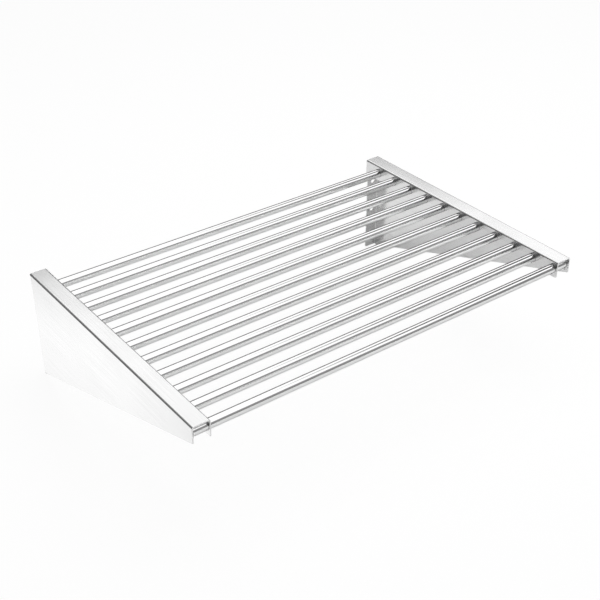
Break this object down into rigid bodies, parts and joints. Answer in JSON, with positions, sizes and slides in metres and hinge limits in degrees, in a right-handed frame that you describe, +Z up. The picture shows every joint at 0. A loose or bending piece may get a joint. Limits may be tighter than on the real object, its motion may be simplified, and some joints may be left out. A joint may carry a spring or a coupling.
{
  "type": "wall shelf",
  "caption": "Polished stainless wall shelf: a row of round tubes welded between folded triangular brackets with screw holes for the wall.",
  "frame": {"origin": "on the wall plane, midway between the brackets and level with their top faces", "axes": "+Z up, +Y into the wall, +X to the right for someone who faces the shelf"},
  "size_m": [0.6, 0.398, 0.159],
  "materials": {
    "bracket_steel": "stainless sheet, polished bright with a very fine grain",
    "tube_steel": "stainless tube, polished bright",
    "weld_steel": "weld bead, rippled and a little dull"
  },
  "bodies": {
    "root": {"left_bracket": "bracket_steel", "right_bracket": "bracket_steel", "tube_01": "tube_steel", "tube_02": "tube_steel", "tube_03": "tube_steel", "tube_04": "tube_steel", "tube_05": "tube_steel", "tube_06": "tube_steel", "tube_07": "tube_steel", "tube_08": "tube_steel", "tube_09": "tube_steel", "tube_10": "tube_steel", "tube_11": "tube_steel", "left_weld_01": "weld_steel", "left_weld_02": "weld_steel", "left_weld_03": "weld_steel", "left_weld_04": "weld_steel", "left_weld_05": "weld_steel", "left_weld_06": "weld_steel", "left_weld_07": "weld_steel", "left_weld_08": "weld_steel", "left_weld_09": "weld_steel", "left_weld_10": "weld_steel", "left_weld_11": "weld_steel", "right_weld_01": "weld_steel", "right_weld_02": "weld_steel", "right_weld_03": "weld_steel", "right_weld_04": "weld_steel", "right_weld_05": "weld_steel", "right_weld_06": "weld_steel", "right_weld_07": "weld_steel", "right_weld_08": "weld_steel", "right_weld_09": "weld_steel", "right_weld_10": "weld_steel", "right_weld_11": "weld_steel"}
  },
  "joints": []
}
